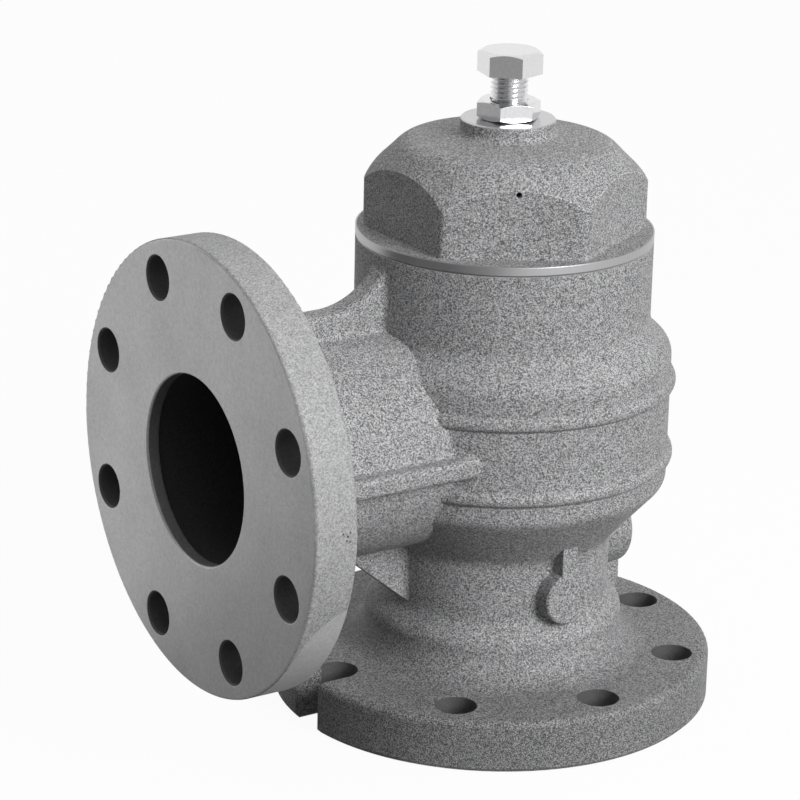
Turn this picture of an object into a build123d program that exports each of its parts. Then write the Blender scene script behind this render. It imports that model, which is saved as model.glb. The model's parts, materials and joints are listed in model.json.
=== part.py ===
"""Minimum pressure valve, DN 80, angle pattern, modelled in millimetres.

The origin is the centre of the inlet flange face. The inlet looks down, the outlet
flange looks along -X, and the spring cap with its adjusting screw points up.
"""
import os
from math import cos, radians, sin, sqrt

from build123d import *

os.makedirs("parts", exist_ok=True)

# Flanges, both drilled to the same circle
flange_radius = 95.5
bolt_circle_inset = 15.5
bolt_hole_radius = 9.0
bolt_hole_count = 8
bolt_hole_edge_break = 0.8
inlet_flange_thickness = 23.0
inlet_rim_round = 3.0
inlet_face_chamfer = 2.0
outlet_flange_thickness = 19.4
outlet_rim_round = 1.2
outlet_face_distance = 150.4
outlet_axis_height = 126.5

# Passages: a machined lip at each flange, wider cast walls behind it
bore_radius = 40.0
bore_edge_break = 0.6
lip_depth = 5.6
cast_passage_relief = 2.0

# Outside of the casting; heights above the inlet face, or from the outlet axis where named so
neck_wall = 7.8
neck_foot_height = 51.0
hub_step = 6.2
hub_wall_top = 39.0
hub_blend_radius = 13.0
neck_top_below_axis = 51.5
neck_top_fillet = 8.0
bulge_radius = 73.0
bulge_corner_radius = 69.3
bulge_corner_below_axis = 29.5
bulge_bottom_below_axis = 22.5
band_thickness = 2.3
band_width = 6.6
band_lip_height = 1.4
band_lip_share = 0.8
band_crest_share = 0.45
lower_band_below_axis = 17.1
upper_band_above_axis = 15.7
shoulder_bottom_above_axis = 29.4
shoulder_top_above_axis = 46.9
collar_radius = 63.3
collar_top_above_axis = 79.5
collar_edge_break = 0.5

# Inside of the casting
chamber_wall = 8.5
chamber_floor_ledge = 4.5
chamber_roof_above_axis = 27.5
thread_relief = 1.0
thread_relief_above_axis = 40.5
chamber_cone_rise = 22.0
seat_pocket_wall = 3.0

# Nozzle, ribs and bosses of the casting
nozzle_wall = 6.2
nozzle_root_radius = 4.0
rib_thickness = 12.0
top_rib_above_axis = 58.6
top_rib_bend_distance = 91.0
top_rib_peak_below_collar = 2.5
side_web_thickness = 8.5
side_web_reach = 56.0
gusset_reach = 84.5
gusset_foot_height = 50.0
side_boss_radius = 11.5
side_boss_height = 59.5
side_boss_reach = 57.0
side_boss_rib_thickness = 7.5
side_boss_rib_height = 24.0
back_boss_radius = 18.0
back_boss_height = 65.0
back_boss_reach = 62.2
back_rib_thickness = 16.0
rib_overlap = 2.0
rib_fillet = 2.5
boss_edge_round = 1.2
side_boss_rib_step = 0.5

# Valve seat
seat_below_passage = 0.5
seat_ring_width = 6.0
seat_ring_height = 7.0
seat_ring_stand = 2.0

# Check disc with its seal, retainer and stem
disc_overhang = 1.0
disc_plate_thickness = 5.0
disc_lip_width = 1.8
disc_lip_gap = 1.0
disc_edge_chamfer = 1.5
seal_thickness = 3.0
seal_grip = 4.0
retainer_play = 1.5
retainer_thickness = 5.0
retainer_lead_in = 3.0
stem_radius = 9.0
stem_chamfer = 1.0
stem_end_length = 2.5
stop_washer_radius = 15.0
stop_washer_thickness = 2.0
circlip_radius = 11.5
circlip_thickness = 1.5
circlip_groove_depth = 0.9
circlip_opening = 6.0
retainer_screw_radius = 5.0
retainer_screw_depth = 27.0
retainer_screw_hole_depth = 30.0
retainer_screw_head_flats = 16.0
retainer_screw_head_height = 6.5
retainer_washer_radius = 12.0
retainer_washer_thickness = 2.0

# Springs
main_spring_wire = 8.0
main_spring_mean_radius = 28.0
main_spring_active_turns = 6
check_spring_wire = 1.6
check_spring_mean_radius = 12.6
check_spring_active_turns = 4
closed_turn_rise = 1.03
spring_play = 2.5
spring_washer_thickness = 1.5

# Piston, a cup that runs in the skirt of the cap
piston_head_radius = 45.9
piston_head_height = 22.0
piston_head_inset = 3.0
piston_head_slope = 4.0
piston_cup_wall = 4.0
piston_foot_chamfer = 2.0
piston_floor_thickness = 8.0
check_spring_recess_depth = 30.0
bush_wall = 3.0
bush_length = 12.0
ring_land = 1.5
first_ring_land = 2.0
o_ring_groove_width = 4.6
o_ring_groove_depth = 4.2
o_ring_round = 1.6
guide_ring_width = 5.0
guide_ring_depth = 2.0
guide_ring_gap = 1.5

# Spring cap
cap_ring_thickness = 4.0
cap_flats = 105.0
cap_corner_angle = 30.0
cap_corner_height = 23.0
cap_corner_round = 4.0
cap_height = 51.0
cap_dome_radius = 50.0
cap_dome_drop = 15.3
cap_shoulder_radius = 44.0
cap_shoulder_drop = 10.1
cap_crown_radius = 36.0
cap_crown_drop = 8.6
cap_dome_start = (-0.4, 1)
cap_dome_finish = (-1, 0.1)
cap_boss_radius = 20.2
cap_boss_height = 6.5
cap_boss_edge_break = 0.6
cap_boss_fillet = 2.5
cap_ring_gap = 0.4
cap_ring_gap_depth = 2.0
cap_thread_radius = 55.0
cap_thread_length = 20.0
cap_thread_runout = 2.0
cap_thread_chamfer = 1.0
cap_skirt_wall = 5.0
cap_skirt_length = 41.0
cap_skirt_lead_in = 2.0
cap_bore_top_drop = 25.0
cap_roof_thickness = 14.0
cap_roof_radius = 34.0
thread_boss_radius = 14.0
thread_boss_length = 5.0
vent_radius = 1.25
vent_drop = 19.6
vent_angle = -119.0
cap_seal_inner_radius = 57.3
cap_seal_width = 3.0
cap_seal_height = 2.1
cap_seal_round = 0.75

# Upper spring seat, thrust ball, adjusting screw and lock nut
upper_seat_thickness = 6.0
upper_seat_rim = 3.0
upper_seat_pilot_length = 8.0
upper_seat_pilot_play = 0.8
upper_seat_chamfer = 1.0
upper_seat_headroom = 6.0
thrust_ball_radius = 6.0
thrust_ball_rise = 1.5
screw_radius = 8.0
screw_exposed_length = 11.0
screw_head_flats = 24.0
screw_head_height = 10.0
screw_head_angle = 17.6
screw_tip_chamfer = 1.0
screw_cup_depth = 2.5
lock_nut_thickness = 8.0
lock_nut_angle = 41.0
hex_face_share = 0.95
hex_chamfer_angle = 30.0

# Clearances
running_clearance = 0.05
piston_clearance = 0.15
thread_clearance = 0.05
groove_clearance = 0.1
screw_hole_clearance = 0.5

# How far a cutting shape runs past the face it cuts, and a shape that only trims past a corner
cut_overrun = 1.0
trim_overrun = 0.01

# Radii that follow
bolt_circle_radius = flange_radius - bolt_circle_inset
cast_passage_radius = bore_radius + cast_passage_relief
neck_radius = cast_passage_radius + neck_wall
hub_radius = neck_radius + hub_step
hub_foot_radius = hub_radius + hub_blend_radius
nozzle_radius = cast_passage_radius + nozzle_wall
band_radius = bulge_radius + band_thickness
chamber_radius = bulge_radius - chamber_wall
seat_ring_radius = bore_radius + seat_ring_width
chamber_floor_radius = seat_ring_radius + chamber_floor_ledge
thread_bore_radius = cap_thread_radius + thread_clearance
thread_relief_radius = thread_bore_radius + thread_relief
disc_radius = seat_ring_radius + disc_overhang
disc_lip_radius = disc_radius - disc_lip_width
seal_inner_radius = bore_radius - seal_grip
bush_radius = stem_radius + running_clearance
bush_outer_radius = bush_radius + bush_wall
spring_inner_radius = main_spring_mean_radius - main_spring_wire / 2
spring_outer_radius = main_spring_mean_radius + main_spring_wire / 2
piston_hub_radius = spring_inner_radius - spring_play
cup_inner_radius = spring_outer_radius + spring_play
piston_cup_radius = cup_inner_radius + piston_cup_wall
recess_radius = check_spring_mean_radius + check_spring_wire / 2 + spring_play
piston_bore_radius = piston_head_radius + piston_clearance
sealing_radius = piston_bore_radius - running_clearance
cap_corner_radius = cap_flats / sqrt(3)

# Heights that follow, from the inlet face
neck_top = outlet_axis_height - neck_top_below_axis
bulge_corner = outlet_axis_height - bulge_corner_below_axis
bulge_bottom = outlet_axis_height - bulge_bottom_below_axis
shoulder_bottom = outlet_axis_height + shoulder_bottom_above_axis
shoulder_top = outlet_axis_height + shoulder_top_above_axis
collar_top = outlet_axis_height + collar_top_above_axis
valve_lift = bore_radius / 2
seat_height = outlet_axis_height - bore_radius - seat_below_passage
seat_ring_bottom = seat_height - seat_ring_height
chamber_floor = seat_height - seat_ring_stand
disc_underside = seat_height + seal_thickness
disc_top = disc_underside + disc_plate_thickness
piston_floor = disc_top + piston_floor_thickness
recess_roof = disc_top + check_spring_recess_depth
bush_top = recess_roof + bush_length
stop_washer_bottom = bush_top + valve_lift
circlip_bottom = stop_washer_bottom + stop_washer_thickness
circlip_top = circlip_bottom + circlip_thickness
stem_top = circlip_top + stem_end_length
spring_bottom = piston_floor + spring_washer_thickness
cap_thread_bottom = collar_top - cap_thread_length
cap_skirt_bottom = collar_top - cap_skirt_length
cap_hex_bottom = collar_top + cap_ring_thickness
cap_top = collar_top + cap_height
cap_roof = cap_top - cap_roof_thickness
cap_bore_top = cap_top - cap_bore_top_drop
piston_head_bottom = cap_skirt_bottom + piston_head_inset
piston_head_top = piston_head_bottom + piston_head_height
thread_boss_bottom = cap_roof - thread_boss_length
upper_seat_top = thread_boss_bottom - upper_seat_headroom
upper_seat_bottom = upper_seat_top - upper_seat_thickness
screw_head_bottom = cap_top + lock_nut_thickness + screw_exposed_length

axial_plane = Plane.XZ
outlet_plane = Plane(
    origin=(-outlet_face_distance, 0, outlet_axis_height), x_dir=(0, 1, 0), z_dir=(-1, 0, 0)
)
outlet_section = Plane(
    origin=(-outlet_face_distance, 0, outlet_axis_height), x_dir=(1, 0, 0), z_dir=(0, -1, 0)
)
outlet_axis = Axis((0, 0, outlet_axis_height), (1, 0, 0))


def turned_ring(inner, outer, bottom, top):
    """A plain ring about the main axis."""
    with BuildPart() as ring:
        with BuildSketch(Plane.XY.offset(bottom)):
            Circle(outer)
            Circle(inner, mode=Mode.SUBTRACT)
        extrude(amount=top - bottom)
    return ring


def hexagon_blank(flats, bottom, height, angle, both_ends):
    """A bolt head or nut blank about the main axis, its corners turned off at a slant."""
    corner = flats / sqrt(3)
    face_radius = hex_face_share * flats / 2
    corner_drop = (corner - face_radius) * sin(radians(hex_chamfer_angle))
    low_drop = corner_drop if both_ends else 0
    low_radius = face_radius if both_ends else corner
    with BuildPart() as blank:
        with BuildSketch(Plane.XY.offset(bottom)):
            RegularPolygon(radius=flats / 2, side_count=6, major_radius=False, rotation=angle)
        extrude(amount=height)
        with BuildSketch(axial_plane):
            Polygon(
                (0, bottom),
                (low_radius, bottom),
                (corner + trim_overrun, bottom + low_drop),
                (corner + trim_overrun, bottom + height - corner_drop),
                (face_radius, bottom + height),
                (0, bottom + height),
                align=None,
            )
        revolve(axis=Axis.Z, mode=Mode.INTERSECT)
    return blank


def coil_spring(mean_radius, wire, bottom, top, active_turns):
    """A compression spring with a closed turn at each end, both ends ground flat."""
    closed_rise = wire * closed_turn_rise
    active_rise = top - bottom - 2 * closed_rise
    with BuildPart() as spring:
        with BuildLine() as coil:
            Helix(closed_rise, closed_rise, mean_radius, center=(0, 0, bottom))
            Helix(active_rise / active_turns, active_rise, mean_radius, center=(0, 0, bottom + closed_rise))
            Helix(closed_rise, closed_rise, mean_radius, center=(0, 0, top - closed_rise))
        with BuildSketch(Plane(origin=coil.line @ 0, z_dir=coil.line % 0)):
            Circle(wire / 2)
        sweep(path=coil.line, is_frenet=True)
        split(bisect_by=Plane.XY.offset(bottom), keep=Keep.TOP)
        split(bisect_by=Plane.XY.offset(top), keep=Keep.BOTTOM)
    return spring


def on_rib_side(edge):
    """Whether an edge lies in one of the two side faces of the ribs in the axial plane."""
    return abs(abs(edge.center().Y) - rib_thickness / 2) < trim_overrun


def on_web_side(edge):
    """Whether an edge lies in the outer face of a side web."""
    return abs(abs(edge.center().Y) - side_web_reach) < trim_overrun


# Valve body, a single aluminium casting
with BuildPart() as valve_body:
    # Inlet flange, hub, neck, bulge with its two bands, shoulder and collar in one turned shape
    with BuildSketch(axial_plane):
        with BuildLine():
            Polyline(
                (0, 0),
                (flange_radius - inlet_face_chamfer, 0),
                (flange_radius, inlet_face_chamfer),
                (flange_radius, inlet_flange_thickness - inlet_rim_round),
            )
            rim = JernArc(
                (flange_radius, inlet_flange_thickness - inlet_rim_round), (0, 1), inlet_rim_round, 90
            )
            foot = Line(rim @ 1, (hub_foot_radius, inlet_flange_thickness))
            hub_blend = JernArc(foot @ 1, (-1, 0), hub_blend_radius, -90)
            Line(hub_blend @ 1, (hub_radius, hub_wall_top))
            Spline(
                (hub_radius, hub_wall_top),
                (neck_radius, neck_foot_height),
                tangents=[(0, 1), (0, 1)],
            )
            FilletPolyline(
                (neck_radius, neck_foot_height),
                (neck_radius, neck_top),
                (bulge_corner_radius, bulge_corner),
                radius=neck_top_fillet,
            )
            Spline(
                (bulge_corner_radius, bulge_corner),
                (bulge_radius, bulge_bottom),
                tangents=[(bulge_corner_radius - neck_radius, bulge_corner - neck_top), (0, 1)],
            )
            wall_start = bulge_bottom
            for band_bottom in (
                outlet_axis_height - lower_band_below_axis,
                outlet_axis_height + upper_band_above_axis,
            ):
                band_lip = (bulge_radius + band_lip_share * band_thickness, band_bottom + band_lip_height)
                Polyline((bulge_radius, wall_start), (bulge_radius, band_bottom), band_lip)
                ThreePointArc(
                    band_lip,
                    (band_radius, band_bottom + band_crest_share * band_width),
                    (bulge_radius, band_bottom + band_width),
                )
                wall_start = band_bottom + band_width
            Line((bulge_radius, wall_start), (bulge_radius, shoulder_bottom))
            Spline(
                (bulge_radius, shoulder_bottom),
                (collar_radius, shoulder_top),
                tangents=[(0, 1), (0, 1)],
            )
            Polyline(
                (collar_radius, shoulder_top),
                (collar_radius, collar_top - collar_edge_break),
                (collar_radius - collar_edge_break, collar_top),
                (0, collar_top),
                (0, 0),
            )
        make_face()
    revolve(axis=Axis.Z)

    # Outlet flange and nozzle, turned about the outlet axis
    with BuildSketch(outlet_section):
        with BuildLine():
            front = JernArc((0, flange_radius - outlet_rim_round), (0, 1), outlet_rim_round, -90)
            Line(front @ 1, (outlet_flange_thickness - outlet_rim_round, flange_radius))
            back = JernArc(
                (outlet_flange_thickness - outlet_rim_round, flange_radius), (1, 0), outlet_rim_round, -90
            )
            Line(back @ 1, (outlet_flange_thickness, nozzle_radius + nozzle_root_radius))
            root = JernArc(
                (outlet_flange_thickness, nozzle_radius + nozzle_root_radius),
                (0, -1),
                nozzle_root_radius,
                90,
            )
            Polyline(
                root @ 1,
                (outlet_face_distance - neck_radius, nozzle_radius),
                (outlet_face_distance - neck_radius, 0),
                (0, 0),
                (0, flange_radius - outlet_rim_round),
            )
        make_face()
    revolve(axis=outlet_axis)

    # Rib above the nozzle, with its curved rise to the collar
    rib_root = -collar_radius + rib_overlap
    rib_end = -outlet_face_distance + outlet_flange_thickness - rib_overlap
    top_rib_height = outlet_axis_height + top_rib_above_axis
    with BuildSketch(axial_plane):
        with BuildLine():
            Polyline(
                (rib_root, collar_top - top_rib_peak_below_collar),
                (rib_root, outlet_axis_height),
                (rib_end, outlet_axis_height),
                (rib_end, top_rib_height),
                (-top_rib_bend_distance, top_rib_height),
            )
            TangentArc(
                (-top_rib_bend_distance, top_rib_height),
                (rib_root, collar_top - top_rib_peak_below_collar),
                tangent=(1, 0),
            )
        make_face()
    extrude(amount=rib_thickness / 2, both=True)
    nozzle_root_end = rib_end + rib_overlap + nozzle_root_radius
    rib_edges = valve_body.edges(Select.LAST).filter_by(on_rib_side).filter_by(Axis.Z, reverse=True)
    fillet(rib_edges.filter_by_position(Axis.Z, top_rib_height - trim_overrun, collar_top), rib_fillet)
    rib_edges = valve_body.edges().filter_by(on_rib_side)
    fillet(rib_edges.filter_by_position(Axis.X, nozzle_root_end, 0), rib_fillet)

    # Web at nozzle height on both sides, run into the wall of the bulge
    web_root = rib_overlap - sqrt(bulge_radius**2 - side_web_reach**2)
    with BuildSketch(Plane.XY.offset(outlet_axis_height)):
        with Locations((rib_end, 0)):
            Rectangle(web_root - rib_end, 2 * side_web_reach, align=(Align.MIN, Align.CENTER))
    extrude(amount=side_web_thickness / 2, both=True)
    fillet(valve_body.edges(Select.LAST).filter_by(Axis.X).filter_by(on_web_side), rib_fillet)
    web_roots = valve_body.edges().filter_by(Axis.X).filter_by(
        lambda edge: abs(edge.center().Z - outlet_axis_height) < side_web_thickness
        and abs(edge.center().Y) < nozzle_radius
    )
    fillet(web_roots, rib_fillet)
    fillet(valve_body.edges().filter_by(Axis.Z).filter_by(on_web_side).group_by(Axis.X)[-1], rib_fillet)

    # Gusset between the nozzle and the neck
    nozzle_underside = outlet_axis_height - nozzle_radius + rib_overlap
    with BuildSketch(axial_plane):
        Polygon(
            (-gusset_reach, nozzle_underside),
            (-neck_radius + rib_overlap, gusset_foot_height),
            (-neck_radius + rib_overlap, nozzle_underside),
            align=None,
        )
    extrude(amount=rib_thickness / 2, both=True)
    gusset_edges = valve_body.edges(Select.LAST)
    fillet(gusset_edges.filter_by(Axis.X) + gusset_edges.filter_by(Axis.Z), rib_fillet)

    # Blind bosses on the neck at both sides, each hung from a rib
    for side in (-1, 1):
        side_plane = Plane(origin=(0, side * side_boss_reach, 0), x_dir=(-side, 0, 0), z_dir=(0, side, 0))
        with BuildSketch(side_plane):
            with Locations((0, side_boss_height)):
                Circle(side_boss_radius)
        extrude(amount=-(side_boss_reach - cast_passage_radius))
        boss_edges = valve_body.edges(Select.LAST)
        fillet(boss_edges.filter_by(GeomType.CIRCLE), boss_edge_round)
        with BuildSketch(side_plane.offset(-side_boss_rib_step)):
            with Locations((0, side_boss_height)):
                Rectangle(side_boss_rib_thickness, side_boss_rib_height, align=(Align.CENTER, Align.MIN))
        extrude(amount=-(side_boss_reach - side_boss_rib_step - cast_passage_radius))

    # Larger blind boss at the back, on a rib that stands on the foot of the hub
    back_plane = Plane(origin=(back_boss_reach, 0, 0), x_dir=(0, 1, 0), z_dir=(1, 0, 0))
    with BuildSketch(back_plane):
        with Locations((0, back_boss_height)):
            Circle(back_boss_radius)
    extrude(amount=-(back_boss_reach - cast_passage_radius))
    fillet(valve_body.edges(Select.LAST).filter_by(GeomType.CIRCLE), boss_edge_round)
    with BuildSketch(axial_plane):
        Polygon(
            (cast_passage_radius, back_boss_height),
            (back_boss_reach, back_boss_height),
            (back_boss_reach, inlet_flange_thickness),
            (cast_passage_radius, inlet_flange_thickness),
            align=None,
        )
    extrude(amount=back_rib_thickness / 2, both=True)

    # Passage from the inlet through the seat pocket into the chamber and up to the collar
    with BuildSketch(axial_plane):
        Polygon(
            (0, -cut_overrun),
            (bore_radius + bore_edge_break + cut_overrun, -cut_overrun),
            (bore_radius, bore_edge_break),
            (bore_radius, lip_depth),
            (cast_passage_radius, lip_depth),
            (cast_passage_radius, seat_ring_bottom - seat_pocket_wall - cast_passage_relief),
            (bore_radius, seat_ring_bottom - seat_pocket_wall),
            (bore_radius, seat_ring_bottom),
            (seat_ring_radius, seat_ring_bottom),
            (seat_ring_radius, chamber_floor),
            (chamber_floor_radius, chamber_floor),
            (chamber_radius, chamber_floor + chamber_cone_rise),
            (chamber_radius, outlet_axis_height + chamber_roof_above_axis),
            (thread_relief_radius, outlet_axis_height + thread_relief_above_axis),
            (thread_relief_radius, cap_thread_bottom - cap_thread_runout),
            (thread_bore_radius, cap_thread_bottom - cap_thread_runout + thread_relief),
            (thread_bore_radius, collar_top + cut_overrun),
            (0, collar_top + cut_overrun),
            align=None,
        )
    revolve(axis=Axis.Z, mode=Mode.SUBTRACT)

    # Outlet passage, up to the open middle of the chamber
    with BuildSketch(outlet_section):
        Polygon(
            (-cut_overrun, 0),
            (-cut_overrun, bore_radius + bore_edge_break + cut_overrun),
            (bore_edge_break, bore_radius),
            (lip_depth, bore_radius),
            (lip_depth, cast_passage_radius),
            (outlet_face_distance - chamber_floor_radius, cast_passage_radius),
            (outlet_face_distance - chamber_floor_radius, 0),
            align=None,
        )
    revolve(axis=outlet_axis, mode=Mode.SUBTRACT)

    # Bolt holes: they straddle the upright at the outlet, and one at the inlet is an open slot
    with BuildSketch(outlet_plane):
        with PolarLocations(bolt_circle_radius, bolt_hole_count, start_angle=180 / bolt_hole_count):
            Circle(bolt_hole_radius)
    extrude(amount=-outlet_flange_thickness, mode=Mode.SUBTRACT)
    with BuildSketch(Plane.XY):
        with PolarLocations(bolt_circle_radius, bolt_hole_count):
            Circle(bolt_hole_radius)
        with Locations((-bolt_circle_radius, 0)):
            Rectangle(bolt_circle_radius, 2 * bolt_hole_radius, align=(Align.MAX, Align.CENTER))
    extrude(amount=inlet_flange_thickness + cut_overrun, mode=Mode.SUBTRACT)
    outlet_hole_edges = valve_body.edges().filter_by(GeomType.CIRCLE).filter_by(
        lambda edge: abs(edge.radius - bolt_hole_radius) < trim_overrun
        and abs(edge.arc_center.X + outlet_face_distance) < trim_overrun
    )
    chamfer(outlet_hole_edges, bolt_hole_edge_break)
valve_body.part.label = "valve_body"
export_step(valve_body.part, "parts/valve_body.step")

# Seat ring, pressed into its pocket
seat_ring = turned_ring(bore_radius, seat_ring_radius, seat_ring_bottom, seat_height)
seat_ring.part.label = "seat_ring"
export_step(seat_ring.part, "parts/seat_ring.step")

# Spring cap: ring, hexagon, dome and the skirt in which the piston runs
with BuildPart() as spring_cap:
    with BuildSketch(Plane.XY.offset(cap_hex_bottom - cut_overrun)) as cap_hexagon:
        RegularPolygon(radius=cap_flats / 2, side_count=6, major_radius=False, rotation=cap_corner_angle)
        fillet(cap_hexagon.vertices(), cap_corner_round)
    extrude(amount=cap_top - cap_hex_bottom + cut_overrun)
    with BuildSketch(axial_plane):
        with BuildLine():
            dome = Spline(
                (cap_corner_radius + trim_overrun, collar_top + cap_corner_height),
                (cap_dome_radius, cap_top - cap_dome_drop),
                (cap_shoulder_radius, cap_top - cap_shoulder_drop),
                (cap_crown_radius, cap_top - cap_crown_drop),
                (cap_boss_radius, cap_top - cap_boss_height),
                tangents=[cap_dome_start, cap_dome_finish],
            )
            Polyline(
                dome @ 1,
                (cap_boss_radius, cap_top - cap_boss_edge_break),
                (cap_boss_radius - cap_boss_edge_break, cap_top),
                (0, cap_top),
                (0, cap_hex_bottom - cut_overrun),
                (cap_corner_radius + trim_overrun, cap_hex_bottom - cut_overrun),
                dome @ 0,
            )
        make_face()
    revolve(axis=Axis.Z, mode=Mode.INTERSECT)
    boss_foot = cap_top - cap_boss_height
    foot_edges = spring_cap.edges().filter_by_position(Axis.Z, boss_foot - trim_overrun, boss_foot + trim_overrun)
    fillet(foot_edges, cap_boss_fillet)
    with BuildSketch(axial_plane):
        Polygon(
            (0, cap_hex_bottom),
            (collar_radius, cap_hex_bottom),
            (collar_radius, collar_top),
            (cap_thread_radius, collar_top),
            (cap_thread_radius, cap_thread_bottom + cap_thread_chamfer),
            (cap_thread_radius - cap_thread_chamfer, cap_thread_bottom),
            (piston_bore_radius + cap_skirt_wall, cap_thread_bottom),
            (piston_bore_radius + cap_skirt_wall, cap_skirt_bottom),
            (0, cap_skirt_bottom),
            align=None,
        )
    revolve(axis=Axis.Z)

    # Bore for the piston, spring chamber, and the thread of the adjusting screw
    with BuildSketch(axial_plane):
        Polygon(
            (0, cap_skirt_bottom),
            (piston_bore_radius + cap_skirt_lead_in, cap_skirt_bottom),
            (piston_bore_radius, cap_skirt_bottom + cap_skirt_lead_in),
            (piston_bore_radius, cap_bore_top),
            (cap_roof_radius, cap_roof),
            (thread_boss_radius, cap_roof),
            (thread_boss_radius, thread_boss_bottom),
            (screw_radius + thread_clearance, thread_boss_bottom),
            (screw_radius + thread_clearance, cap_top),
            (0, cap_top),
            align=None,
        )
    revolve(axis=Axis.Z, mode=Mode.SUBTRACT)

    # Groove for the seal under the ring, the narrow gap at the ring's edge, and the vent on one flat
    with BuildSketch(Plane.XY.offset(collar_top)):
        Circle(cap_seal_inner_radius + cap_seal_width + groove_clearance)
        Circle(cap_seal_inner_radius - groove_clearance, mode=Mode.SUBTRACT)
    extrude(amount=cap_seal_height, mode=Mode.SUBTRACT)
    with BuildSketch(Plane.XY.offset(collar_top)):
        Circle(collar_radius + cut_overrun)
        Circle(collar_radius - cap_ring_gap_depth, mode=Mode.SUBTRACT)
    extrude(amount=cap_ring_gap, mode=Mode.SUBTRACT)
    vent_direction = (cos(radians(vent_angle)), sin(radians(vent_angle)), 0)
    with BuildSketch(Plane(origin=(0, 0, cap_top - vent_drop), z_dir=vent_direction)):
        Circle(vent_radius)
    extrude(amount=cap_corner_radius, mode=Mode.SUBTRACT)
spring_cap.part.label = "spring_cap"
export_step(spring_cap.part, "parts/spring_cap.step")

# Seal of the cap, squeezed into its groove under the ring
with BuildPart() as cap_o_ring:
    with BuildSketch(Plane.XY.offset(collar_top)):
        Circle(cap_seal_inner_radius + cap_seal_width)
        Circle(cap_seal_inner_radius, mode=Mode.SUBTRACT)
    extrude(amount=cap_seal_height)
    fillet(cap_o_ring.edges().filter_by(GeomType.CIRCLE), cap_seal_round)
cap_o_ring.part.label = "cap_o_ring"
export_step(cap_o_ring.part, "parts/cap_o_ring.step")

# Check disc with its stem
with BuildPart() as check_disc:
    with BuildSketch(axial_plane):
        Polygon(
            (0, disc_underside),
            (disc_lip_radius, disc_underside),
            (disc_lip_radius, seat_height + disc_lip_gap),
            (disc_radius, seat_height + disc_lip_gap),
            (disc_radius, disc_top - disc_edge_chamfer),
            (disc_radius - disc_edge_chamfer, disc_top),
            (stem_radius, disc_top),
            (stem_radius, circlip_bottom),
            (stem_radius - circlip_groove_depth, circlip_bottom),
            (stem_radius - circlip_groove_depth, circlip_top),
            (stem_radius, circlip_top),
            (stem_radius, stem_top - stem_chamfer),
            (stem_radius - stem_chamfer, stem_top),
            (0, stem_top),
            align=None,
        )
    revolve(axis=Axis.Z)
    with BuildSketch(Plane.XY.offset(disc_underside)):
        Circle(retainer_screw_radius + thread_clearance)
    extrude(amount=retainer_screw_hole_depth, mode=Mode.SUBTRACT)
check_disc.part.label = "check_disc"
export_step(check_disc.part, "parts/check_disc.step")

# Sealing ring that closes on the seat
check_seal = turned_ring(seal_inner_radius, disc_lip_radius - groove_clearance, seat_height, disc_underside)
check_seal.part.label = "check_seal"
export_step(check_seal.part, "parts/check_seal.step")

# Retainer plate that clamps the sealing ring and enters the seat with play
retainer_bottom = seat_height - retainer_thickness
retainer_radius = bore_radius - retainer_play
retainer_hole_radius = retainer_screw_radius + screw_hole_clearance
with BuildPart() as seal_retainer:
    with BuildSketch(axial_plane):
        Polygon(
            (retainer_hole_radius, retainer_bottom),
            (retainer_radius - retainer_lead_in, retainer_bottom),
            (retainer_radius, retainer_bottom + retainer_lead_in / 2),
            (retainer_radius, seat_height),
            (seal_inner_radius - groove_clearance, seat_height),
            (seal_inner_radius - groove_clearance, disc_underside),
            (retainer_hole_radius, disc_underside),
            align=None,
        )
    revolve(axis=Axis.Z)
seal_retainer.part.label = "seal_retainer"
export_step(seal_retainer.part, "parts/seal_retainer.step")

# Washer and screw under the retainer
washer_bottom = retainer_bottom - retainer_washer_thickness
retainer_washer = turned_ring(retainer_hole_radius, retainer_washer_radius, washer_bottom, retainer_bottom)
retainer_washer.part.label = "retainer_washer"
export_step(retainer_washer.part, "parts/retainer_washer.step")

with BuildPart() as retainer_screw:
    with BuildSketch(Plane.XY.offset(washer_bottom)):
        Circle(retainer_screw_radius)
    extrude(amount=disc_underside + retainer_screw_depth - washer_bottom)
    with BuildSketch(Plane.XY.offset(washer_bottom)):
        RegularPolygon(radius=retainer_screw_head_flats / 2, side_count=6, major_radius=False)
    extrude(amount=-retainer_screw_head_height)
retainer_screw.part.label = "retainer_screw"
export_step(retainer_screw.part, "parts/retainer_screw.step")

# Stop washer and circlip at the top of the stem
stem_stop_washer = turned_ring(bush_radius, stop_washer_radius, stop_washer_bottom, circlip_bottom)
stem_stop_washer.part.label = "stem_stop_washer"
export_step(stem_stop_washer.part, "parts/stem_stop_washer.step")

with BuildPart() as stem_circlip:
    with BuildSketch(Plane.XY.offset(circlip_bottom)):
        Circle(circlip_radius)
        Circle(stem_radius - circlip_groove_depth, mode=Mode.SUBTRACT)
        with Locations((circlip_radius, 0)):
            Rectangle(circlip_radius, circlip_opening, mode=Mode.SUBTRACT)
    extrude(amount=circlip_thickness)
stem_circlip.part.label = "stem_circlip"
export_step(stem_circlip.part, "parts/stem_circlip.step")

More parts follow.
